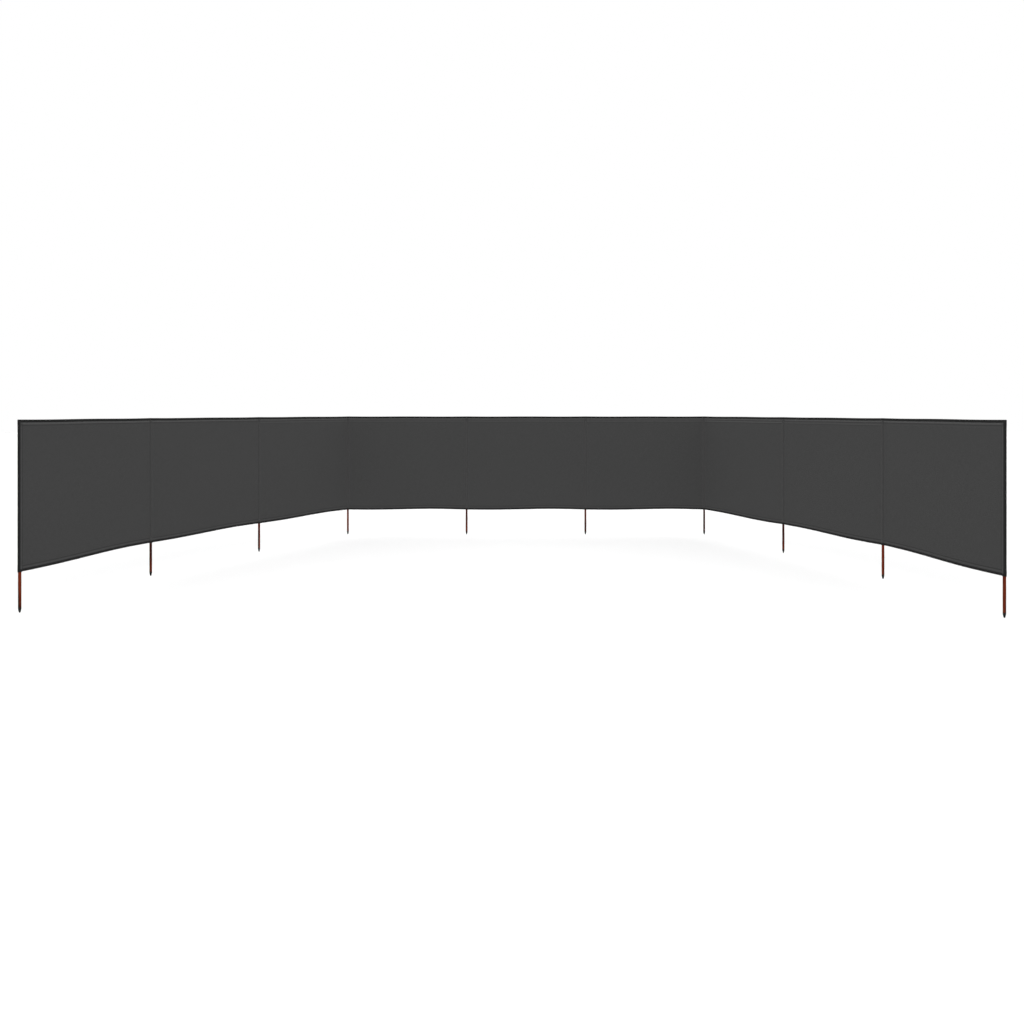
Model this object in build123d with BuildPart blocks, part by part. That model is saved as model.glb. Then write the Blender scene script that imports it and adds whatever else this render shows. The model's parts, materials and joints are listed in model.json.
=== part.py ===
# Beach windbreak of nine cloth bays on ten wooden poles, standing as a three-sided screen.
# Millimetres, +Z up. The origin is the flat end of pole 5's point, where it meets the ground.
# The back row runs along +X, and both wings come forward, towards -Y.

import os
from math import cos, pi, radians, sin

from build123d import *

# Poles
pole_count = 10
pole_pitch = 1330.0
pole_radius = 10.5

# Points on the poles' feet, and the spigots that seat in them
point_length = 36.0
point_end_radius = 5.0
point_band = 9.0
point_sides = 24
spigot_radius = 5.0
spigot_length = 16.0
spigot_clearance = 0.2

# Cloth
cloth_top = 1320.0
cloth_height = 1043.0
cloth_thickness = 0.8
hem_depth = 35.0
hem_thickness = 1.6
side_seam_width = 9.0

# Sleeves that hold the poles
sleeve_play = 0.5
sleeve_wall = 1.0
sleeve_hem_wall = 1.9
pole_head_clearance = 0.3
fold_clearance = 0.3

# The two end sleeves' bound outer edges, measured from the pole's axis
lip_reach = 17.5
lip_thickness = 2.4

# Where the screen turns: the first pole of the back row, and each wing's turn at its own poles
back_row_start = 5
left_wing_turns = {4: 61.0, 3: 5.0, 2: 9.0}
right_wing_turns = {7: -68.5, 8: -3.5, 9: -8.0}

cloth_bottom = cloth_top - cloth_height
sleeve_bore = pole_radius + sleeve_play
sleeve_radius = sleeve_bore + sleeve_wall
sleeve_hem_radius = sleeve_bore + sleeve_hem_wall
pole_head = cloth_top - sleeve_wall - pole_head_clearance
cone_height = point_length - point_band
cone_inset = (pole_radius - point_end_radius) * cos(pi / point_sides)
cloth_inset = sleeve_hem_radius + fold_clearance
lip_root = sleeve_bore + sleeve_wall / 2


# Pole positions, walked outwards from the back row's first pole
def walk(start, first, last, heading, turns):
    places = {first: start}
    step = 1 if last > first else -1
    here = start
    for number in range(first, last, step):
        heading += turns.get(number, 0.0)
        here = here + Vector(cos(radians(heading)), sin(radians(heading))) * pole_pitch
        places[number + step] = here
    return places


pole_places = walk(Vector(0, 0), back_row_start, 1, 180.0, left_wing_turns)
pole_places.update(walk(Vector(0, 0), back_row_start, pole_count, 0.0, right_wing_turns))


# The ground plane at a pole
def ground_plane(number):
    return Plane(origin=pole_places[number])


# A plane through a pole's axis, with its second direction up, for turned profiles
def turning_plane(number):
    return Plane(origin=pole_places[number], x_dir=(1, 0, 0), z_dir=(0, -1, 0))


def pole_axis(number):
    return Axis(pole_places[number], (0, 0, 1))


# A bay's elevation: along the cloth from its left pole, and up
def bay_plane(number):
    along = (pole_places[number + 1] - pole_places[number]).normalized()
    return Plane(origin=pole_places[number], x_dir=along, z_dir=along.cross(Vector(0, 0, 1)))


# An end sleeve's elevation: outwards from the screen's last bay, and up
def lip_plane(number):
    neighbour = 2 if number == 1 else pole_count - 1
    outwards = (pole_places[number] - pole_places[neighbour]).normalized()
    return Plane(origin=pole_places[number], x_dir=outwards, z_dir=outwards.cross(Vector(0, 0, 1)))


# A turned pole, cut down at its foot to a shoulder and a spigot
def make_pole(number):
    with BuildPart() as pole:
        with BuildSketch(ground_plane(number).offset(point_length)):
            Circle(pole_radius)
        extrude(amount=pole_head - point_length)
        with BuildSketch(ground_plane(number).offset(point_length)):
            Circle(spigot_radius)
        extrude(amount=-spigot_length)
    return pole


# A point: a many-sided band tapered to a blunt end, with a socket for the pole's spigot
def make_point(number):
    with BuildPart() as point:
        with BuildSketch(ground_plane(number)):
            RegularPolygon(pole_radius, point_sides)
        extrude(amount=point_length)
        blunt_end = point.faces().sort_by(Axis.Z)[0]
        chamfer(blunt_end.edges(), length=cone_inset, length2=cone_height, reference=blunt_end)
        with BuildSketch(ground_plane(number).offset(point_length)):
            RegularPolygon(spigot_radius + spigot_clearance, point_sides, major_radius=False)
        extrude(amount=-(spigot_length + spigot_clearance), mode=Mode.SUBTRACT)
    return point


# A sleeve: cloth round the pole, closed over its head, with a thicker hem at each end.
# The screen's two end sleeves also have a flat bound lip along their outer side.
def make_sleeve(number):
    with BuildPart() as sleeve:
        with BuildSketch(turning_plane(number)):
            with BuildLine():
                Polyline(
                    (0, cloth_top),
                    (0, cloth_top - sleeve_wall),
                    (sleeve_bore, cloth_top - sleeve_wall),
                    (sleeve_bore, cloth_bottom),
                    (sleeve_hem_radius, cloth_bottom),
                    (sleeve_hem_radius, cloth_bottom + hem_depth),
                    (sleeve_radius, cloth_bottom + hem_depth),
                    (sleeve_radius, cloth_top - hem_depth),
                    (sleeve_hem_radius, cloth_top - hem_depth),
                    (sleeve_hem_radius, cloth_top),
                    close=True,
                )
            make_face()
        revolve(axis=pole_axis(number))
        if number in (1, pole_count):
            with BuildSketch(lip_plane(number)):
                with Locations(((lip_root + lip_reach) / 2, cloth_bottom + cloth_height / 2)):
                    Rectangle(lip_reach - lip_root, cloth_height)
            extrude(amount=lip_thickness / 2, both=True)
    return sleeve


# A bay of cloth, with doubled hems along its top and foot and a doubled seam beside each sleeve
def make_cloth(number):
    width = pole_pitch - 2 * cloth_inset
    middle = (pole_pitch / 2, cloth_bottom + cloth_height / 2)
    with BuildPart() as cloth:
        with BuildSketch(bay_plane(number)):
            with Locations(middle):
                Rectangle(width, cloth_height)
        extrude(amount=cloth_thickness / 2, both=True)
        with BuildSketch(bay_plane(number)):
            with Locations(middle):
                Rectangle(width, cloth_height)
                Rectangle(
                    width - 2 * side_seam_width,
                    cloth_height - 2 * hem_depth,
                    mode=Mode.SUBTRACT,
                )
        extrude(amount=hem_thickness / 2, both=True)
    return cloth


os.makedirs("parts", exist_ok=True)


def save(piece, label):
    piece.part.label = label
    export_step(piece.part, f"parts/{label}.step")


for number in range(1, pole_count + 1):
    save(make_pole(number), f"pole_{number}")
    save(make_point(number), f"point_{number}")
    save(make_sleeve(number), f"sleeve_{number}")

for number in range(1, pole_count):
    save(make_cloth(number), f"cloth_{number}")
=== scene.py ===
import json
import math

import bpy
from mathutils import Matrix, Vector, noise


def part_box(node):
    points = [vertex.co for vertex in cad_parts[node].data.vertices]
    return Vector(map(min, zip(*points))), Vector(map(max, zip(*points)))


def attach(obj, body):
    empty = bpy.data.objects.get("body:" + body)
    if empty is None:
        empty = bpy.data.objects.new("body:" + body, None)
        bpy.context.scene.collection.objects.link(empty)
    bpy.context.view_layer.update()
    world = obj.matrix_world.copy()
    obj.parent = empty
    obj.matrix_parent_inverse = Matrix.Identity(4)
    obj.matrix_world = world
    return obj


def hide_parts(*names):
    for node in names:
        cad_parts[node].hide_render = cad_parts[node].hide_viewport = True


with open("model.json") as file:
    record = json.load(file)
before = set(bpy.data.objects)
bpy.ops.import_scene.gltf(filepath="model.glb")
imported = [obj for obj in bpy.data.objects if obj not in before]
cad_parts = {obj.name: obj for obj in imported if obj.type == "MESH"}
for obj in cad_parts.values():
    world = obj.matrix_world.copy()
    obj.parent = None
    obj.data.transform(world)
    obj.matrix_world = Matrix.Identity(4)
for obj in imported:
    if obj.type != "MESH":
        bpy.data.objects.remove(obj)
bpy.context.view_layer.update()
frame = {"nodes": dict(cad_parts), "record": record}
record = frame["record"]
nodeBody = {node: body for body, nodes in record["behaviour"]["bodies"].items() for node in nodes}

up = Vector((0, 0, 1))
poleCount = 10
bayCount = poleCount - 1
endPoles = (1, poleCount)


def boxOf(node):
    low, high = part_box(node)
    return Vector(low), Vector(high)


def smooth(value, start, end):
    t = min(1.0, max(0.0, (value - start) / (end - start)))
    return t * t * (3 - 2 * t)


def poleFoot(number):  # where a pole's axis meets the ground
    low, high = boxOf(f"pole_{number}")
    return Vector(((low.x + high.x) / 2, (low.y + high.y) / 2, 0))


poleAt = {number: poleFoot(number) for number in range(1, poleCount + 1)}

# Shader expressions


class Value:  # a shader number that Python's own operators work on
    def __init__(self, finish, socket):
        self.finish = finish
        self.socket = socket

    def math(self, operation, *others):
        values = dict(enumerate((self, *others)))
        node = self.finish.make("ShaderNodeMath", {"operation": operation}, values)
        return Value(self.finish, node.outputs[0])

    def __add__(self, other):
        return self.math("ADD", other)

    def __mul__(self, other):
        return self.math("MULTIPLY", other)

    __radd__ = __add__
    __rmul__ = __mul__

    def __sub__(self, other):
        return self.math("SUBTRACT", other)

    def __rsub__(self, other):
        return (self * -1).math("ADD", other)

    def sine(self):
        return self.math("SINE")

    def size(self):
        return self.math("ABSOLUTE")

    def above(self, limit):
        return self.math("GREATER_THAN", limit)

    def most(self, other):
        return self.math("MAXIMUM", other)

    def ramp(self, start, end):  # 0 before start, 1 after end, smooth between
        limits = {"Value": self, "From Min": start, "From Max": end}
        node = self.finish.make("ShaderNodeMapRange", {"interpolation_type": "SMOOTHSTEP"}, limits)
        return Value(self.finish, node.outputs[0])


def feed(tree, socket, value):  # links a socket, or sets it
    if isinstance(value, Value):
        value = value.socket
    if isinstance(value, bpy.types.NodeSocket):
        tree.links.new(value, socket)
    else:
        socket.default_value = value


def setStops(ramp, stops):
    while len(ramp.elements) < len(stops):
        ramp.elements.new(0.5)
    for element, (place, colour) in zip(ramp.elements, stops):
        element.position = place
        element.color = (*colour, 1.0)


def addNode(tree, kind, settings=None, values=None):
    node = tree.nodes.new(kind)
    for key, value in (settings or {}).items():
        if key == "stops":
            setStops(node.color_ramp, value)
        else:
            setattr(node, key, value)
    for key, value in (values or {}).items():
        feed(tree, node.inputs[key], value)
    return node


class Finish:  # one material and its nodes
    def __init__(self, name, **fixed):
        self.material = bpy.data.materials.new(name)
        self.material.use_nodes = True
        self.tree = self.material.node_tree
        self.shader = self.tree.nodes["Principled BSDF"]
        for socket, value in fixed.items():
            self.shader.inputs[socket.replace("_", " ")].default_value = value

    def make(self, kind, settings=None, values=None):
        return addNode(self.tree, kind, settings, values)

    def objectSpace(self, scale=(1, 1, 1)):
        place = self.make("ShaderNodeTexCoord").outputs["Object"]
        return self.make("ShaderNodeMapping", None, {"Vector": place, "Scale": scale}).outputs[0]

    def uvSpace(self, name, scale=(1, 1, 1)):
        place = self.make("ShaderNodeUVMap", {"uv_map": name}).outputs[0]
        return self.make("ShaderNodeMapping", None, {"Vector": place, "Scale": scale}).outputs[0]

    def split(self, vector):
        node = self.make("ShaderNodeSeparateXYZ", None, {"Vector": vector})
        return [Value(self, socket) for socket in node.outputs]

    def noise(self, vector, scale, detail=2.0, rough=0.5):
        values = {"Vector": vector, "Scale": scale, "Detail": detail, "Roughness": rough}
        return Value(self, self.make("ShaderNodeTexNoise", None, values).outputs["Fac"])

    def attribute(self, name):
        node = self.make("ShaderNodeAttribute", {"attribute_name": name})
        return Value(self, node.outputs["Fac"])

    def colours(self, value, stops):
        return self.make("ShaderNodeValToRGB", {"stops": stops}, {"Fac": value}).outputs["Color"]

    def mixColour(self, factor, first, second, kind="MIX"):
        settings = {"data_type": "RGBA", "blend_type": kind}
        values = {"Factor": factor, 6: first, 7: second}  # 6 and 7 are its colour sockets
        return self.make("ShaderNodeMix", settings, values).outputs[2]

    def scaleColour(self, factor, colour, amount):  # colour times amount where factor is 1
        return self.mixColour(factor, colour, (amount, amount, amount, 1), "MULTIPLY")

    def bump(self, height, strength, distance):
        values = {"Height": height, "Strength": strength, "Distance": distance}
        self.paint("Normal", self.make("ShaderNodeBump", None, values).outputs[0])

    def paint(self, socket, value):
        feed(self.tree, self.shader.inputs[socket], value)


# Finishes

clothFinish = {
    "stops": [(0.26, (0.0225, 0.0225, 0.0225)), (0.76, (0.0580, 0.0580, 0.0580))],
    "yarnPitch": 0.0013,
    "yarnDip": 0.55,  # how far a yarn sinks where it passes under
    "weaveTone": 0.33,
    "streaks": (26.0, 900.0, 1.0),
    "streakTone": 0.32,
    "cloudScale": 1.7,
    "cloudTone": 0.03,
    "hemPaintedLight": 1.38,
    "seamShade": 0.55,
    "roughness": 0.9,
    "roughnessSpread": 0.08,
    "weaveDepth": 0.0004,
    "reliefStrength": 0.7,
    "weaveRelief": 0.8,
    "streakRelief": 0.4,
}


def weaveHeight(across, along):  # plain weave, 0 in the gaps and 1 on top of a yarn
    dip = clothFinish["yarnDip"]
    warp = (across * math.pi).sine()
    weft = (along * math.pi).sine()
    over = (warp * weft).above(0.0)
    warpTop = warp.size() * (over * dip + (1 - dip))
    weftTop = weft.size() * (1.0 - over * dip)
    return warpTop.most(weftTop)


def makeClothFinish():
    part = clothFinish
    finish = Finish("wovenCanvas", Roughness=part["roughness"], Specular_IOR_Level=0.15)
    perMetre = 1 / part["yarnPitch"]
    across, along, _ = finish.split(finish.uvSpace("weave", (perMetre, perMetre, 1)))
    weave = weaveHeight(across, along)
    streakAlong = finish.noise(finish.uvSpace("weave", part["streaks"]), 1.0, 2.0)
    turned = (part["streaks"][1], part["streaks"][0], 1.0)
    streakAcross = finish.noise(finish.uvSpace("weave", turned), 1.0, 2.0)
    cloud = finish.noise(finish.objectSpace(), part["cloudScale"], 3.0)
    tone = streakAlong * part["streakTone"] + streakAcross * part["streakTone"]
    tone = tone + cloud * part["cloudTone"] + weave * part["weaveTone"]
    colour = finish.colours(tone, part["stops"])
    # painted light: where the "hem" attribute is set (hems, sleeves, their lips, the laps and bands
    # beside the sleeves, the band under the top hem) the cloth's colour is made lighter
    colour = finish.scaleColour(finish.attribute("hem"), colour, part["hemPaintedLight"])
    # painted shade: where the "seam" attribute is set, along seams and in the line under the top hem,
    # the colour is made darker
    colour = finish.scaleColour(finish.attribute("seam"), colour, part["seamShade"])
    finish.paint("Base Color", colour)
    spread = part["roughnessSpread"]
    finish.paint("Roughness", streakAlong * spread + part["roughness"] - spread / 2)
    relief = weave * part["weaveRelief"] + streakAlong * part["streakRelief"]
    finish.bump(relief, part["reliefStrength"], part["weaveDepth"])
    return finish.material


tapeFinish = {
    "stops": [(0.2, (0.0068, 0.0068, 0.0068)), (0.8, (0.0145, 0.0145, 0.0145))],
    "ribPitch": 0.0016,
    "ribTone": 0.4,
    "ribStrength": 0.4,
    "ribDepth": 0.0003,
    "wornScale": 60.0,
    "roughness": 0.85,
}


def makeTapeFinish():
    part = tapeFinish
    finish = Finish("edgeBinding", Roughness=part["roughness"], Specular_IOR_Level=0.15)
    perMetre = math.pi / part["ribPitch"]
    across, along, _ = finish.split(finish.uvSpace("weave", (perMetre, perMetre, 1)))
    rib = (across + along).sine().size()
    worn = finish.noise(finish.objectSpace(), part["wornScale"], 3.0)
    tone = rib * part["ribTone"] + worn * (1 - part["ribTone"])
    finish.paint("Base Color", finish.colours(tone, part["stops"]))
    finish.bump(rib, part["ribStrength"], part["ribDepth"])
    return finish.material


threadFinish = {
    "stops": [(0.3, (0.024, 0.024, 0.024)), (0.7, (0.040, 0.040, 0.040))],
    "twistScale": 900.0,
    "roughness": 0.6,
}


def makeThreadFinish():
    part = threadFinish
    finish = Finish("sewingThread", Roughness=part["roughness"], Specular_IOR_Level=0.3)
    twist = finish.noise(finish.objectSpace(), part["twistScale"], 2.0)
    finish.paint("Base Color", finish.colours(twist, part["stops"]))
    return finish.material


woodFinish = {
    "grainScale": (70.0, 70.0, 2.2),
    "figureScale": (16.0, 16.0, 0.9),
    "figureRings": 30.0,
    "figureWander": 4.0,
    "figureTone": 0.35,
    "poreScale": (700.0, 700.0, 22.0),
    "poreStops": (0.60, 0.74),
    "poreShade": 0.6,
    "dark": (0.026, 0.0032, 0.0008),
    "middle": (0.068, 0.0072, 0.0013),
    "light": (0.128, 0.0175, 0.0032),
    "toneStops": (0.36, 0.5, 0.66),
    "scuffed": (0.130, 0.042, 0.016),
    "scuffTop": 0.16,
    "scuffFoot": 0.05,
    "scuffScale": 120.0,
    "scuffStops": (0.52, 0.66),
    "scuffAmount": 0.3,
    "roughness": 0.34,
    "grainRoughness": 0.16,
    "scuffRoughness": 0.35,
    "poreRelief": 0.8,
    "grainRelief": 0.3,
    "reliefStrength": 0.25,
    "reliefDepth": 0.0004,
}


def makeWoodFinish():
    part = woodFinish
    finish = Finish("varnishedWood", Specular_IOR_Level=0.09, Coat_Weight=0.02, Coat_Roughness=0.2)
    warp = finish.noise(finish.objectSpace(part["figureScale"]), 1.0, 2.0)
    grain = finish.noise(finish.objectSpace(part["grainScale"]), 1.0, 4.0, 0.6)
    pores = finish.noise(finish.objectSpace(part["poreScale"]), 1.0, 2.0).ramp(*part["poreStops"])
    rings = warp * part["figureRings"] + grain * part["figureWander"]
    figure = rings.sine() * 0.5 + 0.5
    tone = figure * part["figureTone"] + grain * (1 - part["figureTone"])
    stops = list(zip(part["toneStops"], (part["dark"], part["middle"], part["light"])))
    colour = finish.colours(tone, stops)
    shaded = finish.mixColour(pores * part["poreShade"], colour, (*part["dark"], 1))
    _, _, height = finish.split(finish.objectSpace())
    patches = finish.noise(finish.objectSpace((1, 1, 0.4)), part["scuffScale"], 3.0)
    worn = patches.ramp(*part["scuffStops"])
    scuff = worn * (1.0 - height.ramp(part["scuffFoot"], part["scuffTop"])) * part["scuffAmount"]
    finish.paint("Base Color", finish.mixColour(scuff, shaded, (*part["scuffed"], 1)))
    rough = grain * part["grainRoughness"] + scuff * part["scuffRoughness"]
    finish.paint("Roughness", rough + part["roughness"])
    relief = 1.0 - pores * part["poreRelief"] + grain * part["grainRelief"]
    finish.bump(relief, part["reliefStrength"], part["reliefDepth"])
    return finish.material


pointFinish = {
    "dark": (0.0035, 0.0035, 0.0035),
    "worn": (0.030, 0.028, 0.026),
    "tipTop": 0.016,
    "tipWear": 0.6,
    "bodyWear": 0.12,
    "scratchScale": (500, 500, 60),
    "scratchStops": (0.54, 0.66),
    "scratchStrength": 0.3,
    "scratchDepth": 0.0002,
    "roughness": 0.5,
    "wornRoughness": 0.2,
}


def makePointFinish():
    part = pointFinish
    finish = Finish("blackPoint", Specular_IOR_Level=0.2)
    _, _, height = finish.split(finish.objectSpace())
    marks = finish.noise(finish.objectSpace(part["scratchScale"]), 1.0, 3.0)
    scratch = marks.ramp(*part["scratchStops"])
    tip = 1.0 - height.ramp(0.0, part["tipTop"])
    wear = scratch * (tip * part["tipWear"] + part["bodyWear"])
    finish.paint("Base Color", finish.mixColour(wear, (*part["dark"], 1), (*part["worn"], 1)))
    finish.paint("Roughness", wear * part["wornRoughness"] + part["roughness"])
    finish.bump(1.0 - wear, part["scratchStrength"], part["scratchDepth"])
    return finish.material


cloth = makeClothFinish()
tape = makeTapeFinish()
thread = makeThreadFinish()
wood = makeWoodFinish()
pointBlack = makePointFinish()
print("finishes made")

# Meshes


def newPiece(name, mesh, material):
    mesh.materials.clear()
    mesh.materials.append(material)
    piece = bpy.data.objects.new(name, mesh)
    bpy.context.scene.collection.objects.link(piece)
    return piece


def gridFaces(rowCount, width, closed):
    faces = []
    for row in range(rowCount - 1):
        here, above = row * width, (row + 1) * width
        for column in range(width if closed else width - 1):
            nextColumn = (column + 1) % width
            faces.append((here + column, here + nextColumn, above + nextColumn, above + column))
    return faces


# in each point, hem is its share of painted light and seam its share of painted shade
def gridMesh(name, rows, closed):  # joins strips of points, each (place, u, v, hem, seam)
    width = len(rows[0])
    points = [point for row in rows for point in row]
    mesh = bpy.data.meshes.new(name)
    mesh.from_pydata([point[0] for point in points], [], gridFaces(len(rows), width, closed))
    weave = mesh.uv_layers.new(name="weave")
    lastU = max(point[1] for point in points)
    for face in mesh.polygons:
        corners = [mesh.loops[index].vertex_index for index in face.loop_indices]
        wraps = closed and max(c % width for c in corners) - min(c % width for c in corners) > 1
        for index, corner in zip(face.loop_indices, corners):
            u = points[corner][1]
            if wraps and corner % width == 0:
                u = lastU * width / (width - 1)
            weave.data[index].uv = (u, points[corner][2])
    for place, key in ((3, "hem"), (4, "seam")):
        layer = mesh.attributes.new(key, "FLOAT", "POINT")
        layer.data.foreach_set("value", [point[place] for point in points])
    mesh.polygons.foreach_set("use_smooth", [True] * len(mesh.polygons))
    return mesh


def applyModifiers(piece):
    bpy.context.view_layer.update()
    evaluated = piece.evaluated_get(bpy.context.evaluated_depsgraph_get())
    mesh = bpy.data.meshes.new_from_object(evaluated)
    piece.modifiers.clear()
    piece.data = mesh


def makeWall(name, rows, thickness, material, closed=False):  # strips of points, made thick
    piece = newPiece(name, gridMesh(name, rows, closed), material)
    wall = piece.modifiers.new("wall", "SOLIDIFY")
    wall.thickness = thickness
    wall.offset = 0.0
    wall.use_even_offset = True
    applyModifiers(piece)
    return piece


def joined(name, pieces, material):
    first = pieces[0]
    with bpy.context.temp_override(active_object=first, selected_editable_objects=pieces):
        bpy.ops.object.join()
    first.name = name
    first.data.name = name
    first.data.materials.clear()
    first.data.materials.append(material)
    return first


def turnOver(height, offset, radius, start, end, steps):
    # points of a fold: an arc round (height, offset), where 0 degrees is straight up
    points = []
    for step in range(steps + 1):
        angle = math.radians(start + (end - start) * step / steps)
        points.append((height + radius * math.cos(angle), offset + radius * math.sin(angle)))
    return points


# Cloth bays

bayShape = {
    "thickness": 0.0006,
    "layerPitch": 0.00075,  # between the two layers of a hem
    "hemDepth": 0.041,
    "foldSteps": 4,
    "edgeStops": (0.012, 0.022),  # strips between a hem's edge and its seam
    "seamHeight": 0.038,
    "sideSeam": 0.0185,  # from the pole's axis
    "seamHalf": 0.0050,  # where a seam's shade has faded out
    "seamCore": 0.0028,  # where it is full
    "hemSeamShade": 0.8,
    # the painted ridge under the top hem: a painted light band over a painted shadow line, where the
    # cloth itself has no ridge
    "paintedRidgeStops": (0.0455, 0.0560, 0.0590, 0.0630, 0.0670),  # under the top hem
    "paintedRidgeInBay": {3: 0.5, 4: 0.55, 5: 0.65, 6: 0.7, 7: 1.0, 8: 0.5, 9: 0.1},
    "endSeamShade": 1.0,
    # painted light on the hems: how much lighter the cloth is made there
    "topHemPaintedLight": 1.0,
    "footHemPaintedLight": 0.3,
    "lapPaintedLight": 0.11,  # painted light, where the cloth is doubled beside a sleeve, to offset the shade in its crease
    "lapReach": 0.024,
    "edgeInset": 0.0010,
    "poleReach": 0.0117,
    "columns": 124,
    "rows": 38,
    "bow": 0.0035,
    "bowSpread": 0.3,  # how much the bow varies from bay to bay
    "drift": 0.0030,
    "driftScale": 1.9,
    "stiffReach": 0.16,  # from a sleeve to where the cloth is free to bow
    "gather": 0.0008,
    "gatherStart": 0.012,
    "gatherReach": 0.055,
    "gatherPitch": 0.047,
    "gatherWander": 2.5,
    "pucker": 0.00035,
    "puckerPitch": 0.033,
    "puckerReach": 0.030,
    "puckerWander": 3.0,
    "puckerLean": 20,
    "firstRightBay": 7,
    "footLift": 0.0045,
    "leftFootSwing": -0.0045,
    "rightFootSwing": 0.0045,
    "rightFootLift": -0.0015,
    "topSag": 0.0012,
    "topWave": 0.0010,
}


class Bay:  # one bay's own directions: along the cloth, up, and out of its front
    def __init__(self, number):
        self.number = number
        self.left = poleAt[number]
        self.span = (poleAt[number + 1] - self.left).length
        self.along = (poleAt[number + 1] - self.left).normalized()
        self.out = self.along.cross(up)
        low, high = boxOf(f"cloth_{number}")
        self.foot = low.z
        self.top = high.z
        self.onRight = number >= bayShape["firstRightBay"]
        self.seed = Vector((number * 7.31, number * 3.17, 0))  # its own place in the noise
        spread = bayShape["bowSpread"]
        self.bow = 1 - spread + spread * math.cos(number * 2.1)

    def relief(self, distance, height):  # how far the stretched cloth stands out of its plane
        part = bayShape
        t = distance / self.span
        nearest = max(0.0, min(distance, self.span - distance) - part["poleReach"])
        free = smooth(nearest, 0.0, part["stiffReach"])
        drift = noise.noise(Vector((distance, height * 0.8, 0)) * part["driftScale"] + self.seed)
        bow = part["bow"] * math.sin(math.pi * t) * self.bow
        wander = noise.noise(Vector((height * 3.0, distance * 2.0, 4.0)) + self.seed)
        phase = part["gatherWander"] * wander
        ripple = math.sin(2 * math.pi * height / part["gatherPitch"] + phase)
        gather = part["gather"] * ripple * math.exp(-nearest / part["gatherReach"])
        gather *= smooth(nearest, 0.0, part["gatherStart"])
        edge = min(height - self.foot, self.top - height)
        along = 2 * math.pi * distance / part["puckerPitch"]
        rub = math.sin(along + part["puckerWander"] * drift + edge * part["puckerLean"])
        pucker = part["pucker"] * rub * math.exp(-max(edge, 0) / part["puckerReach"])
        return (bow + part["drift"] * drift) * free + gather + pucker * free

    def rise(self, distance, height):  # how far the hems wave up and down between the poles
        part = bayShape
        t = distance / self.span
        lift = part["rightFootLift"] if self.onRight else part["footLift"]
        swing = part["rightFootSwing"] if self.onRight else part["leftFootSwing"]
        foot = lift * math.sin(math.pi * t) + swing * math.sin(2 * math.pi * t)
        top = -part["topSag"] * math.sin(math.pi * t) - part["topWave"] * math.sin(3 * math.pi * t)
        share = (height - self.foot) / (self.top - self.foot)
        return foot * (1 - share) + top * share

    def place(self, distance, height, offset=0.0):
        lifted = height + self.rise(distance, height)
        stand = self.relief(distance, height) + offset
        return self.left + self.along * distance + up * lifted + self.out * stand

    def strip(self, distance, path, lift=0.0, seam=0.0):  # one strip of cloth along a path
        points = []
        run = 0.0
        for index, (height, offset, hem, pathSeam) in enumerate(path):
            if index:
                run += math.hypot(height - path[index - 1][0], offset - path[index - 1][1])
            place = self.place(distance, height, offset)
            points.append((place, distance, run, max(lift, hem), max(seam, pathSeam)))
        return points


def hemHeights(edge, inwards):  # from the edge to just past the hem's seam
    part = bayShape
    seam, half, core = part["seamHeight"], part["seamHalf"], part["seamCore"]
    stops = (*part["edgeStops"], seam - half, seam - core, seam + core, seam + half)
    return [edge + inwards * stop for stop in stops]


def sheetPath(bay):  # up the back of the foot hem, round, up the front, round and down behind
    part = bayShape
    fold = part["layerPitch"] / 2
    foot = bay.foot + part["edgeInset"] + fold
    top = bay.top - part["edgeInset"] - fold
    deep, count = part["hemDepth"], part["rows"]
    path = [(foot + deep, -fold), (foot + deep / 2, -fold)]
    path += turnOver(foot, 0.0, fold, 270, 90, part["foldSteps"])
    low, high = hemHeights(bay.foot, 1), hemHeights(bay.top, -1)
    paintedRidge = [bay.top - stop for stop in part["paintedRidgeStops"]]
    path += [(height, fold) for height in low]
    path += [(low[-1] + (paintedRidge[-1] - low[-1]) * step / count, fold) for step in range(1, count)]
    path += [(height, fold) for height in reversed(high + paintedRidge)]
    path += turnOver(top, 0.0, fold, 90, -90, part["foldSteps"])
    path += [(top - deep / 2, -fold), (top - deep, -fold)]
    seams = (low[3], low[4], high[3], high[4])  # the strips on either side of each seam
    # the painted ridge's light band and shadow line, and how strongly they show in this bay
    ridgePaintedLight, ridgePaintedShadow = paintedRidge[:2], paintedRidge[3]
    ridgePaintedShare = part["paintedRidgeInBay"].get(bay.number, 0.0)

    # painted light by height: on the hems and in the painted ridge's light band
    def paintedLightAt(height):
        if height - foot < part["seamHeight"]:
            return part["footHemPaintedLight"]
        if height in ridgePaintedLight:
            return ridgePaintedShare
        return part["topHemPaintedLight"] if top - height < part["seamHeight"] else 0.0

    def shadeAt(height, offset):
        if offset > 0 and height == ridgePaintedShadow:
            return ridgePaintedShare
        return part["hemSeamShade"] if offset > 0 and height in seams else 0.0

    return [(height, offset, paintedLightAt(height), shadeAt(height, offset)) for height, offset in path]


def columnsOf(bay, count):  # distances along the bay, with a column on each side seam
    part = bayShape
    reach, seam, half, core = part["poleReach"], part["sideSeam"], part["seamHalf"], part["seamCore"]
    near = [reach, (reach + seam - half) / 2, seam - half, seam - core, seam + core, seam + half]
    room = bay.span - 2 * near[-1]
    middle = [near[-1] + room * column / count for column in range(1, count)]
    return near + middle + [bay.span - stop for stop in reversed(near)]


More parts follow.
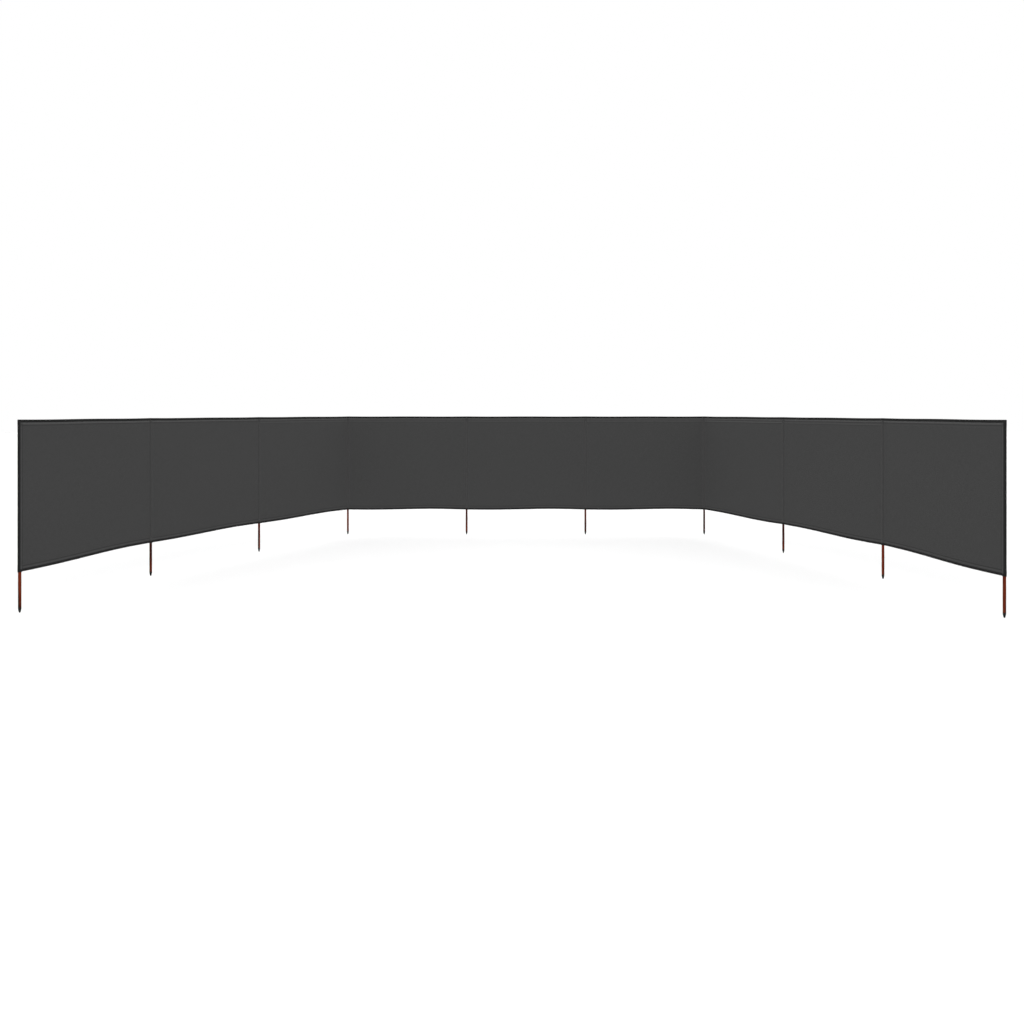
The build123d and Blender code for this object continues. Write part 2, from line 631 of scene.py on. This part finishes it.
def makeSheet(bay):
    part = bayShape
    path = sheetPath(bay)
    seamReach = (part["seamCore"] + part["seamHalf"]) / 2
    rows = []
    for distance in columnsOf(bay, part["columns"]):
        toPole = min(distance, bay.span - distance)
        pole = bay.number if distance < bay.span / 2 else bay.number + 1
        sewn = pole in endPoles and abs(toPole - part["sideSeam"]) < seamReach
        lift = part["lapPaintedLight"] if toPole < part["lapReach"] else 0.0
        rows.append(bay.strip(distance, path, lift, part["endSeamShade"] if sewn else 0.0))
    return makeWall("sheet", rows, part["thickness"], cloth)


# lift is painted light: how much lighter the band's cloth is made
seamBand = {"width": 0.013, "start": 0.0125, "hemGap": 0.002, "columns": 3, "rows": 60, "lift": 0.36}


def makeSeamBands(bay):  # the sleeve's own cloth, lapped behind the bay and sewn down
    part = seamBand
    offset = -bayShape["layerPitch"] / 2
    low = bay.foot + bayShape["edgeInset"] + bayShape["hemDepth"] + part["hemGap"]
    high = bay.top - bayShape["edgeInset"] - bayShape["hemDepth"] - part["hemGap"]
    heights = [low + (high - low) * step / part["rows"] for step in range(part["rows"] + 1)]
    path = [(height, offset, part["lift"], 0.0) for height in heights]
    columns = part["columns"]
    bands = []
    for start in (part["start"], bay.span - part["start"] - part["width"]):
        stops = [start + part["width"] * column / columns for column in range(columns + 1)]
        rows = [bay.strip(stop, path) for stop in stops]
        bands.append(makeWall("band", rows, bayShape["thickness"], cloth))
    return bands


# Binding along the free edges

edgeTape = {
    "depth": 0.0188,
    "innerDepth": 0.9,  # its share of that inside a sleeve's foot
    "thickness": 0.00035,
    "gap": 0.00002,
    "columns": 90,
    "arcSteps": 5,
    "headDrop": 0.0032,
    "headTurn": 0.0031,
    "rimReach": 0.0055,
    "rimDrop": 0.0001,
}


def tapePath(bay, atTop):
    part = edgeTape
    radius = (bayShape["layerPitch"] + bayShape["thickness"] + part["thickness"]) / 2 + part["gap"]
    edge = bay.top - radius if atTop else bay.foot + radius
    inwards = -1 if atTop else 1
    deep = part["depth"]
    start, end = (90, -90) if atTop else (90, 270)
    path = [(edge + inwards * deep, radius), (edge + inwards * deep / 2, radius)]
    path += turnOver(edge, 0.0, radius, start, end, part["arcSteps"])
    path += [(edge + inwards * deep / 2, -radius), (edge + inwards * deep, -radius)]
    return [(height, offset, 0.0, 0.0) for height, offset in path]


def makeTapes(bay):
    strips = []
    for atTop in (True, False):
        path = tapePath(bay, atTop)
        rows = [bay.strip(distance, path) for distance in columnsOf(bay, edgeTape["columns"])]
        strips.append(makeWall("tapeStrip", rows, edgeTape["thickness"], tape))
    return strips


# Sleeves

sleeveShape = {
    "wall": 0.0006,
    "radius": 0.0121,
    "hemRadius": 0.01275,
    "hemDepth": 0.041,
    # painted light: how much lighter the sleeve's cloth is made, on the inner sleeves, the end sleeves
    # and the top hem over the head
    "lift": 0.07,
    "endSleevePaintedLight": 0.36,
    "crownPaintedLight": 0.75,
    "sides": 36,
    "rows": 56,
    "drape": 0.00030,
    "crinkle": 0.00040,
    "crinklePitch": 0.019,
    "crinkleReach": 0.07,
    "reliefFrom": 0.7,  # the share of the radius that the drape starts at
    "endPinch": 36.0,  # degrees of the end sleeves' outer side that run in to their lip
    "headSteps": 4,
    "headTurn": 0.0028,
    "shoulderDrop": 0.004,
    "shoulderRise": 0.0026,
    "closingRings": (0.55, 0.25, 0.06),  # shares of the radius, over the pole's head
    "closingDrop": 0.0012,
    "closingRise": 0.0003,
    "crownDrop": 0.0035,
    "rimReach": 0.0055,
    "rimDrop": 0.0006,
}
hemFace = sleeveShape["hemRadius"] + sleeveShape["wall"] / 2


def outwardsAt(number):  # away from the screen's last bay, at an end pole
    neighbour = 2 if number == 1 else poleCount - 1
    return (poleAt[number] - poleAt[neighbour]).normalized()


def firstAngle(number):
    if number not in endPoles:
        return 0.0
    outwards = outwardsAt(number)
    return math.atan2(outwards.y, outwards.x)


def pinch(number, turn):  # how much further the cloth stands out where an end sleeve narrows
    limit = math.radians(sleeveShape["endPinch"])
    away = abs((turn + math.pi) % (2 * math.pi) - math.pi)
    if number not in endPoles or away > limit:
        return 1.0
    return 1 / math.cos(limit - away)


def sleeveRelief(number, angle, height, foot):
    part = sleeveShape
    seed = Vector((number * 5.7, number * 1.9, 0))
    ring = Vector((math.cos(angle), math.sin(angle), 0))
    soft = noise.noise(ring * 1.1 + Vector((0, 0, height * 9.0)) + seed)
    slack = noise.noise(ring * 0.9 + Vector((0, 0, height / part["crinklePitch"])) + seed)
    low = math.exp(-(height - foot) / part["crinkleReach"])
    return part["drape"] * soft + part["crinkle"] * slack * low


def sleeveRows(number, path):
    part = sleeveShape
    centre = poleAt[number]
    foot = boxOf(f"sleeve_{number}")[0].z
    start = firstAngle(number)
    rows = []
    run = 0.0
    for index, (radius, height, hem) in enumerate(path):
        if index:
            run += math.hypot(radius - path[index - 1][0], height - path[index - 1][1])
        row = []
        for side in range(part["sides"]):
            turn = 2 * math.pi * side / part["sides"]
            angle = start + turn
            stand = radius * pinch(number, turn)
            if radius > part["radius"] * part["reliefFrom"]:
                stand += sleeveRelief(number, angle, height, foot)
            place = centre + Vector((math.cos(angle) * stand, math.sin(angle) * stand, height))
            row.append((place, turn * part["radius"], run, hem, 0.0))
        rows.append(row)
    return rows


def headArc(radius, height, inward, rise):  # a quarter turn in over a sleeve's head
    steps = sleeveShape["headSteps"]
    points = []
    for step in range(1, steps + 1):
        angle = math.radians(90 * step / steps)
        points.append((radius - inward * (1 - math.cos(angle)), height + rise * math.sin(angle)))
    return points


def sleevePath(low, high, lift):  # outside of the foot hem, round its edge, up, and over the head
    part = sleeveShape
    wide, slim, deep = part["hemRadius"], part["radius"], part["hemDepth"]
    fold = (wide - slim) / 2
    foot = low + bayShape["edgeInset"] + fold
    path = [(wide, foot + deep), (wide, foot + deep / 2)]
    for height, radius in turnOver(foot, slim + fold, fold, 90, 270, bayShape["foldSteps"]):
        path.append((radius, height))
    path += [(slim, foot + deep / 2), (slim, foot + deep)]
    shoulder = high - part["shoulderDrop"]
    count = part["rows"]
    for step in range(1, count + 1):
        path.append((slim, foot + deep + (shoulder - foot - deep) * step / count))
    path += headArc(slim, shoulder, part["headTurn"], part["shoulderRise"])
    for share in part["closingRings"]:
        path.append((slim * share, high - part["closingDrop"] + part["closingRise"] * (1 - share)))
    return [(radius, height, lift) for radius, height in path]


def crownPath(high):  # the top hem, turned over the sleeve's head
    part = sleeveShape
    wide, base = part["hemRadius"], high - part["crownDrop"]
    path = [(wide, high - part["hemDepth"]), (wide, high - part["hemDepth"] / 2), (wide, base)]
    path += headArc(wide, base, part["headTurn"], part["headTurn"])
    path.append((wide - part["rimReach"], high - part["rimDrop"]))
    return [(radius, height, part["crownPaintedLight"]) for radius, height in path]


def makeSleeve(number):
    low, high = boxOf(f"sleeve_{number}")
    lift = sleeveShape["endSleevePaintedLight" if number in endPoles else "lift"]
    pieces = []
    for path in (sleevePath(low.z, high.z, lift), crownPath(high.z)):
        rows = sleeveRows(number, path)
        pieces.append(makeWall("sleevePart", rows, sleeveShape["wall"], cloth, closed=True))
    if number in endPoles:
        pieces.append(makeLip(number))
    return joined(f"pole_sleeve_{number}", pieces, cloth)


def makeFootRing(number):  # the binding carried round the sleeve's foot
    part = edgeTape
    low = boxOf(f"sleeve_{number}")[0].z
    inner = sleeveShape["radius"] - sleeveShape["wall"] / 2 - part["thickness"] / 2
    outer = hemFace + part["thickness"] / 2
    path = [(outer, low + part["depth"]), (outer, low + part["depth"] / 2)]
    middle, radius = (inner + outer) / 2, (outer - inner) / 2
    for height, reach in turnOver(low + radius, middle, radius, 90, 270, part["arcSteps"]):
        path.append((reach, height))
    path += [(inner, low + part["depth"] / 2), (inner, low + part["depth"] * part["innerDepth"])]
    return makeRing(number, path)


def makeHeadRing(number):  # the binding carried over the sleeve's head
    part = edgeTape
    high = boxOf(f"sleeve_{number}")[1].z
    outer = hemFace + part["thickness"] / 2
    base = high - part["headDrop"]
    path = [(outer, high - part["depth"]), (outer, high - part["depth"] / 2), (outer, base)]
    path += headArc(outer, base, part["headTurn"], part["headTurn"])
    path.append((outer - part["rimReach"], high - part["rimDrop"]))
    return makeRing(number, path)


def makeRing(number, path):
    rows = sleeveRows(number, [(reach, height, 0.0) for reach, height in path])
    return makeWall("tapeRing", rows, edgeTape["thickness"], tape, closed=True)


# The end sleeves' bound lip

lipShape = {
    "reach": 0.0172,
    "root": 0.0126,
    "half": 0.0005,
    "bindingTurn": 66.0,  # degrees round the sleeve that the binding reaches to
    "bindingSteps": 9,
    "bindingStand": 1.4,  # its thicknesses from the sleeve's face to its own middle
    "bindingArc": 6,
    "hemFade": (-0.001, 0.004),  # past the hem's depth, where the sleeve narrows
    "footInset": 0.001,
    "headInset": 0.0046,
    "bindingFootInset": 0.0002,
    "bindingHeadInset": 0.0034,
    "edgeSteps": 4,
    "rows": 40,
}


def lipAxes(number):
    outwards = outwardsAt(number)
    return outwards, outwards.cross(up)


def lipHeights(number, footInset, headInset):
    low, high = boxOf(f"sleeve_{number}")
    count = lipShape["rows"]
    first, last = low.z + footInset, high.z - headInset
    return [first + (last - first) * step / count for step in range(count + 1)]


def lipRows(number, section, insets, hem):  # a cross-section carried up the lip
    outwards, side = lipAxes(number)
    rows = []
    for height in lipHeights(number, *insets):
        run, row, last = 0.0, [], None
        for reach, offset in section(number, height):
            if last:
                run += math.hypot(reach - last[0], offset - last[1])
            last = (reach, offset)
            place = poleAt[number] + outwards * reach + side * offset + up * height
            row.append((place, run, height, hem, 0.0))
        rows.append(row)
    return rows


def lipSection(number, height):  # the sleeve's two layers, sewn flat against each other
    part = lipShape
    half, tip = part["half"], part["reach"] - part["half"]
    layers = [(part["root"], half)]
    for offset, reach in turnOver(0.0, tip, half, 0, 180, part["edgeSteps"]):
        layers.append((reach, offset))
    return layers + [(part["root"], -half)]


def makeLip(number):
    insets = (lipShape["footInset"], lipShape["headInset"])
    # the lip is made lighter with the top hem's painted light
    rows = lipRows(number, lipSection, insets, sleeveShape["crownPaintedLight"])
    return makeWall("lip", rows, sleeveShape["wall"], cloth)


def wrapSection(number, height):  # the binding: round the lip's edge and back over the sleeve's sides
    part = lipShape
    low, high = boxOf(f"sleeve_{number}")
    edge = min(height - low.z, high.z - height)
    wide, slim, half = sleeveShape["hemRadius"], sleeveShape["radius"], sleeveShape["wall"] / 2
    start, end = (sleeveShape["hemDepth"] + fade for fade in part["hemFade"])
    hem = 1 - smooth(edge, start, end)
    radius = slim + (wide - slim) * hem + half + edgeTape["thickness"] * part["bindingStand"]
    near = part["half"] + half + edgeTape["thickness"] / 2 + edgeTape["gap"]
    steps = part["bindingSteps"]
    side = []
    for step in range(steps):
        turn = math.radians(part["bindingTurn"] * (1 - step / steps))
        reach = radius * pinch(number, turn)
        side.append((reach * math.cos(turn), max(near, reach * math.sin(turn))))
    tip = part["reach"] - part["half"]
    arc = [(reach, offset) for offset, reach in turnOver(0.0, tip, near, 0, 180, part["bindingArc"])]
    return side + arc + [(reach, -offset) for reach, offset in reversed(side)]


def makeWrap(number):
    insets = (lipShape["bindingFootInset"], lipShape["bindingHeadInset"])
    rows = lipRows(number, wrapSection, insets, 0.0)
    return makeWall("lip", rows, edgeTape["thickness"], tape)


# Stitches

stitch = {
    "pitch": 0.0058,
    "length": 0.0043,
    "thickness": 0.00045,
    "sides": 4,
    "rings": 3,
    "wander": 0.10,
    "seamStep": 0.012,
    "rowInset": 0.004,
    "tapeRow": 0.0170,
    "lipRow": 0.0150,
    "lipInsets": (0.006, 0.008),  # at its foot and its head
}


def addSocket(tree, name, kind, value=None):
    socket = tree.interface.new_socket(name=name, in_out="INPUT", socket_type=kind)
    if value is not None:
        socket.default_value = value
    return socket.identifier


def stitchTree():
    tree = bpy.data.node_groups.new("stitchRows", "GeometryNodeTree")
    tree.interface.new_socket(name="Geometry", in_out="INPUT", socket_type="NodeSocketGeometry")
    tree.interface.new_socket(name="Geometry", in_out="OUTPUT", socket_type="NodeSocketGeometry")
    addSocket(tree, "Pitch", "NodeSocketFloat", stitch["pitch"])
    addSocket(tree, "Stitch Length", "NodeSocketFloat", stitch["length"])
    addSocket(tree, "Thread Thickness", "NodeSocketFloat", stitch["thickness"])
    addSocket(tree, "Wander", "NodeSocketFloat", stitch["wander"])
    names = {
        "seed": addSocket(tree, "Seed", "NodeSocketInt", 1),
        "thread": addSocket(tree, "Thread", "NodeSocketMaterial"),
    }

    def make(kind, settings=None, values=None):
        return addNode(tree, kind, settings, values)

    given = make("NodeGroupInput").outputs
    seams = make("GeometryNodeMeshToCurve", None, {"Mesh": given["Geometry"]}).outputs[0]
    spacing = {"Curve": seams, "Length": given["Pitch"]}
    rows = make("GeometryNodeResampleCurve", {"mode": "LENGTH"}, spacing).outputs[0]
    bead = {"Segments": stitch["sides"], "Rings": stitch["rings"], "Radius": 0.5}
    ball = make("GeometryNodeMeshUVSphere", None, bead)
    tangent = make("GeometryNodeInputTangent").outputs[0]
    down = make("ShaderNodeMath", {"operation": "MULTIPLY"}, {0: given["Wander"], 1: -1.0}).outputs[0]
    limits = {"Min": down, "Max": given["Wander"], "Seed": given["Seed"]}
    lean = make("FunctionNodeRandomValue", {"data_type": "FLOAT_VECTOR"}, limits).outputs[0]
    aim = make("ShaderNodeVectorMath", {"operation": "ADD"}, {0: tangent, 1: lean}).outputs[0]
    turn = make("FunctionNodeAlignRotationToVector", {"axis": "X"}, {"Vector": aim}).outputs[0]
    thick = given["Thread Thickness"]
    size = {"X": given["Stitch Length"], "Y": thick, "Z": thick}
    scale = make("ShaderNodeCombineXYZ", None, size).outputs[0]
    wiring = {"Points": rows, "Instance": ball.outputs["Mesh"], "Rotation": turn, "Scale": scale}
    placed = make("GeometryNodeInstanceOnPoints", None, wiring).outputs[0]
    solid = make("GeometryNodeRealizeInstances", None, {"Geometry": placed}).outputs[0]
    rounded = make("GeometryNodeSetShadeSmooth", None, {"Geometry": solid}).outputs[0]
    dyed = make("GeometryNodeSetMaterial", None, {"Geometry": rounded, "Material": given["Thread"]})
    ending = make("NodeGroupOutput")
    tree.links.new(dyed.outputs[0], ending.inputs[0])
    return tree, names


def seamLines(bay):  # where the bay is sewn, on its front and on its back
    part = bayShape
    left, right = part["poleReach"], bay.span - part["poleReach"]
    inset = stitch["rowInset"]
    face = (part["layerPitch"] + part["thickness"]) / 2
    lines = []

    def run(level, offset):
        count = int((right - left) / stitch["seamStep"])
        length = right - left - 2 * inset
        stops = [left + inset + length * step / count for step in range(count + 1)]
        lines.append([bay.place(distance, level, offset) for distance in stops])

    def climb(distance, offset):
        first, last = bay.foot + part["seamHeight"], bay.top - part["seamHeight"]
        count = int((last - first) / stitch["seamStep"])
        stops = [first + (last - first) * step / count for step in range(count + 1)]
        lines.append([bay.place(distance, height, offset) for height in stops])

    for offset in (face, -face):
        run(bay.foot + part["seamHeight"], offset)
        run(bay.top - part["seamHeight"], offset)
        climb(part["sideSeam"], offset)
        climb(bay.span - part["sideSeam"], offset)
    for offset in (face + edgeTape["thickness"], -face - edgeTape["thickness"]):
        run(bay.foot + stitch["tapeRow"], offset)
        run(bay.top - stitch["tapeRow"], offset)
    return lines


def ringLines(number):  # where a sleeve is sewn: round its hems, and round its binding
    low, high = boxOf(f"sleeve_{number}")
    tapeFace = hemFace + edgeTape["thickness"]
    levels = [(low.z + bayShape["seamHeight"], hemFace), (high.z - bayShape["seamHeight"], hemFace)]
    levels += [(low.z + stitch["tapeRow"], tapeFace), (high.z - stitch["tapeRow"], tapeFace)]
    rings = []
    for height, radius in levels:
        rows = sleeveRows(number, [(radius, height, 0.0)])
        rings.append([point[0] for point in rows[0]])
    return rings


def lipLines(number):  # along an end sleeve's bound lip, on both of its sides
    outwards, side = lipAxes(number)
    offset = lipShape["half"] + sleeveShape["wall"] / 2 + edgeTape["thickness"]
    heights = lipHeights(number, *stitch["lipInsets"])
    lines = []
    for way in (1, -1):
        root = poleAt[number] + outwards * stitch["lipRow"] + side * offset * way
        lines.append([root + up * height for height in heights])
    return lines


stitchGroup, stitchInputs = stitchTree()


def makeStitches(name, lines, rings, seed):
    points, edges = [], []
    for row, line in enumerate(lines + rings):
        start = len(points)
        points += line
        edges += [(start + step, start + step + 1) for step in range(len(line) - 1)]
        if row >= len(lines):  # a ring closes on its own start
            edges.append((start + len(line) - 1, start))
    mesh = bpy.data.meshes.new(name)
    mesh.from_pydata(points, edges, [])
    piece = bpy.data.objects.new(name, mesh)
    bpy.context.scene.collection.objects.link(piece)
    rows = piece.modifiers.new("stitches", "NODES")
    rows.node_group = stitchGroup
    rows[stitchInputs["seed"]] = seed
    rows[stitchInputs["thread"]] = thread
    applyModifiers(piece)
    return piece


# Poles and points

poleShape = {"sides": 40, "rows": 12, "shoulder": 0.0007, "headRound": 0.002}
pointShape = {
    "sides": 40,
    "rows": 9,
    "band": 0.009,
    "endRound": 0.0012,
    "flatWithin": 0.0001,
    "rim": 0.0006,
    "swell": 0.0004,
    "stepIn": 0.00008,  # under the band
    "stepHalf": 0.0006,
}


def easedEdge(radius, height, ease, way):  # a rounded corner; way is 1 at a foot and -1 at a top
    middle = 0.3 * ease
    corner = [(radius - ease, height), (radius - middle, height + way * middle)]
    corner.append((radius, height + way * ease))
    return corner[::way]


def turned(name, centre, profile, sides, material):  # a closed turned solid from (radius, height)
    points = []
    for radius, height in profile:
        for side in range(sides):
            angle = 2 * math.pi * side / sides
            points.append(centre + Vector((math.cos(angle) * radius, math.sin(angle) * radius, height)))
    faces = gridFaces(len(profile), sides, True)
    faces.append(tuple(reversed(range(sides))))
    faces.append(tuple(range((len(profile) - 1) * sides, len(profile) * sides)))
    mesh = bpy.data.meshes.new(name)
    mesh.from_pydata(points, [], faces)
    mesh.polygons.foreach_set("use_smooth", [True] * (len(faces) - 2) + [False] * 2)
    return newPiece(name, mesh, material)


def poleRadius(number):
    low, high = boxOf(f"pole_{number}")
    return (high.x - low.x) / 2


def pointEndRadius(number):  # the blunt end's reach, from the solid's own lowest corners
    corners = [corner.co for corner in frame["nodes"][f"point_{number}"].data.vertices]
    lowest = min(corner.z for corner in corners)
    flat = [corner for corner in corners if corner.z < lowest + pointShape["flatWithin"]]
    return max(math.hypot(c.x - poleAt[number].x, c.y - poleAt[number].y) for c in flat)


def makePole(number):
    part = poleShape
    low, high = boxOf(f"point_{number}")[1].z, boxOf(f"pole_{number}")[1].z
    radius, rows = poleRadius(number), part["rows"]
    profile = easedEdge(radius, low, part["shoulder"], 1)
    for step in range(1, rows):
        profile.append((radius, low + (high - low) * step / rows))
    profile += easedEdge(radius, high, part["headRound"], -1)
    return turned(f"wood_pole_{number}", poleAt[number], profile, part["sides"], wood)


def makePoint(number):
    part = pointShape
    top = boxOf(f"point_{number}")[1].z
    radius, end = poleRadius(number), pointEndRadius(number)
    ease, rows, half = part["endRound"], part["rows"], part["stepHalf"]
    shoulder = top - part["band"]
    profile = easedEdge(end, 0.0, ease, 1)
    for step in range(1, rows):
        share = step / rows
        swell = part["swell"] * math.sin(math.pi * share)
        profile.append((end + (radius - end) * share + swell, ease + (shoulder - ease) * share))
    profile += [(radius - part["stepIn"], shoulder - half), (radius, shoulder + half)]
    profile += easedEdge(radius, top, part["rim"], -1)
    return turned(f"black_point_{number}", poleAt[number], profile, part["sides"], pointBlack)


# The windbreak


def sleevesOn(body):
    return [n for n in range(1, poleCount + 1) if nodeBody[f"sleeve_{n}"] == body]


def buildSleeve(number):
    node = f"sleeve_{number}"
    piece = makeSleeve(number)
    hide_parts(node)
    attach(piece, nodeBody[node])


def buildPole(number):
    wooden = (makePole(number), f"pole_{number}", "pole_wood")
    black = (makePoint(number), f"point_{number}", "point_black")
    for piece, node, slot in (wooden, black):
        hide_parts(node)
        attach(piece, nodeBody[node])


def buildBay(number):
    bay = Bay(number)
    body = nodeBody[f"cloth_{number}"]
    sleeves = sleevesOn(body)
    ends = [sleeve for sleeve in sleeves if sleeve in endPoles]
    sheet = joined(f"cloth_bay_{number}", [makeSheet(bay)] + makeSeamBands(bay), cloth)
    rings = [make(sleeve) for sleeve in sleeves for make in (makeFootRing, makeHeadRing)]
    wraps = [makeWrap(sleeve) for sleeve in ends]
    binding = joined(f"edge_binding_{number}", makeTapes(bay) + rings + wraps, tape)
    lines = seamLines(bay) + [line for sleeve in ends for line in lipLines(sleeve)]
    ringSeams = [ring for sleeve in sleeves for ring in ringLines(sleeve)]
    stitches = makeStitches(f"stitches_{number}", lines, ringSeams, number)
    for piece in (sheet, binding, stitches):
        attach(piece, body)
    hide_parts(f"cloth_{number}")


for number in range(1, poleCount + 1):
    buildPole(number)
    buildSleeve(number)
print("poles, points and sleeves built")
for number in range(1, bayCount + 1):
    buildBay(number)
print("cloth bays built")

# Floor, lights and camera

studio = {
    "floorSize": 90.0,
    "floorColour": (0.85, 0.85, 0.85, 1),
    "backdrop": 1.0,
    "skyLight": 0.42,
    "lampCount": 5,  # in a ring, so that every upright face gets the same light
    "firstLamp": -126.0,
    "lampHeight": 22.0,  # degrees over the ground, as firstLamp is degrees round it
    "lampDistance": 10.0,
    "lampStrength": 1.48,
    "lampSpread": 40.0,
    "aim": (0.5, -1.5, 0.8),
    "keyPlace": (0.5, -12.0, 7.0),
    "keySize": 6.0,
    "keyPower": 75.0,
}


def makeFloor():
    half = studio["floorSize"] / 2
    corners = [(-half, -half, 0), (half, -half, 0), (half, half, 0), (-half, half, 0)]
    mesh = bpy.data.meshes.new("floor")
    mesh.from_pydata(corners, [], [(0, 1, 2, 3)])
    finish = Finish("paleFloor", Roughness=0.9, Specular_IOR_Level=0.1)
    finish.paint("Base Color", studio["floorColour"])
    floor = newPiece("floor", mesh, finish.material)
    floor.visible_diffuse = False
    floor.visible_glossy = False


def makeSky():  # a white backdrop, and a softer even light
    world = bpy.data.worlds.new("studio")
    world.use_nodes = True
    tree = world.node_tree
    white = (1, 1, 1, 1)
    light = tree.nodes["Background"]
    feed(tree, light.inputs["Color"], white)
    feed(tree, light.inputs["Strength"], studio["skyLight"])
    shown = {"Color": white, "Strength": studio["backdrop"]}
    backdrop = addNode(tree, "ShaderNodeBackground", None, shown)
    seen = addNode(tree, "ShaderNodeLightPath").outputs["Is Camera Ray"]
    parts = {0: seen, 1: light.outputs[0], 2: backdrop.outputs[0]}
    mix = addNode(tree, "ShaderNodeMixShader", None, parts)
    feed(tree, tree.nodes["World Output"].inputs["Surface"], mix.outputs[0])
    bpy.context.scene.world = world


def placeLamp(name, data, place):
    lamp = bpy.data.objects.new(name, data)
    lamp.location = place
    lamp.rotation_euler = (Vector(studio["aim"]) - Vector(place)).to_track_quat("-Z", "Y").to_euler()
    bpy.context.scene.collection.objects.link(lamp)


def makeRingLamp(number):  # even light that throws no shadow
    data = bpy.data.lights.new(f"ring_{number}", "SUN")
    data.energy = studio["lampStrength"]
    data.angle = math.radians(studio["lampSpread"])
    data.use_shadow = False
    around = math.radians(studio["firstLamp"] + 360 * number / studio["lampCount"])
    height = math.radians(studio["lampHeight"])
    level = Vector((math.cos(around), math.sin(around), 0)) * math.cos(height)
    away = (level + up * math.sin(height)) * studio["lampDistance"]
    placeLamp(f"ring_{number}", data, Vector(studio["aim"]) + away)


def makeKeyLamp():
    data = bpy.data.lights.new("key", "AREA")
    data.energy = studio["keyPower"]
    data.size = studio["keySize"]
    placeLamp("key", data, studio["keyPlace"])


view = {
    "imagePixels": 1024,
    "focalPixels": 840.5,
    "horizonRow": 411.5,
    "eye": (0.508, -9.413, 1.375),
    "sensor": 36.0,
    "clipEnd": 200.0,
}


def makeCamera():
    data = bpy.data.cameras.new("camera")
    data.sensor_width = view["sensor"]
    data.lens = view["focalPixels"] / view["imagePixels"] * view["sensor"]
    data.shift_y = (view["horizonRow"] - view["imagePixels"] / 2) / view["imagePixels"]
    data.clip_end = view["clipEnd"]
    camera = bpy.data.objects.new("camera", data)
    camera.location = view["eye"]
    camera.rotation_euler = (math.radians(90), 0, 0)
    bpy.context.scene.collection.objects.link(camera)
    bpy.context.scene.camera = camera


makeFloor()
makeSky()
for number in range(studio["lampCount"]):
    makeRingLamp(number)
makeKeyLamp()
makeCamera()
bpy.context.scene.view_settings.view_transform = "Standard"
print("floor, lights and camera placed")
